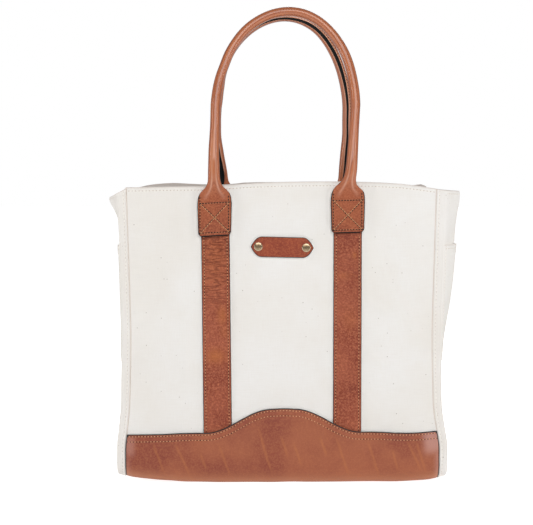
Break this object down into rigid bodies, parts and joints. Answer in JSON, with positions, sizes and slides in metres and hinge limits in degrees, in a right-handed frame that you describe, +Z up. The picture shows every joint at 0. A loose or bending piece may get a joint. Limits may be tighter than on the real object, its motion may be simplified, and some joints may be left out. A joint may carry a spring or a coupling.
{
  "type": "carryall bag",
  "caption": "Open canvas tote with a wave-topped leather base, leather straps, rolled leather handles, side slip pockets and a riveted leather tag.",
  "frame": {"origin": "on the floor, under the middle of the bag's box", "axes": "+Z up, -Y out of the front, the side with the tag, and +X to the right of someone who faces it"},
  "size_m": [0.4539, 0.1616, 0.6104],
  "materials": {
    "canvas": "undyed heavy cotton canvas, plain weave with dark specks, beige topstitching",
    "base_leather": "smooth tan pull-up leather with pale stretch streaks, dark painted edges, satin",
    "strap_leather": "tan leather with a fine pebble grain and dark painted edges, satin",
    "handle_leather": "smooth tan rolled leather with a dark painted inner seam, soft sheen",
    "brass": "antiqued brass, darkened in the hollows"
  },
  "bodies": {
    "root": {"canvas_front": "canvas", "canvas_back": "canvas", "gusset_left": "canvas", "gusset_right": "canvas", "pocket_left": "canvas", "pocket_right": "canvas", "leather_base": "base_leather", "strap_front_left": "strap_leather", "strap_front_right": "strap_leather", "strap_back_left": "strap_leather", "strap_back_right": "strap_leather", "tag": "strap_leather", "handle_front": "handle_leather", "handle_back": "handle_leather", "rivet_left": "brass", "rivet_right": "brass"}
  },
  "joints": []
}
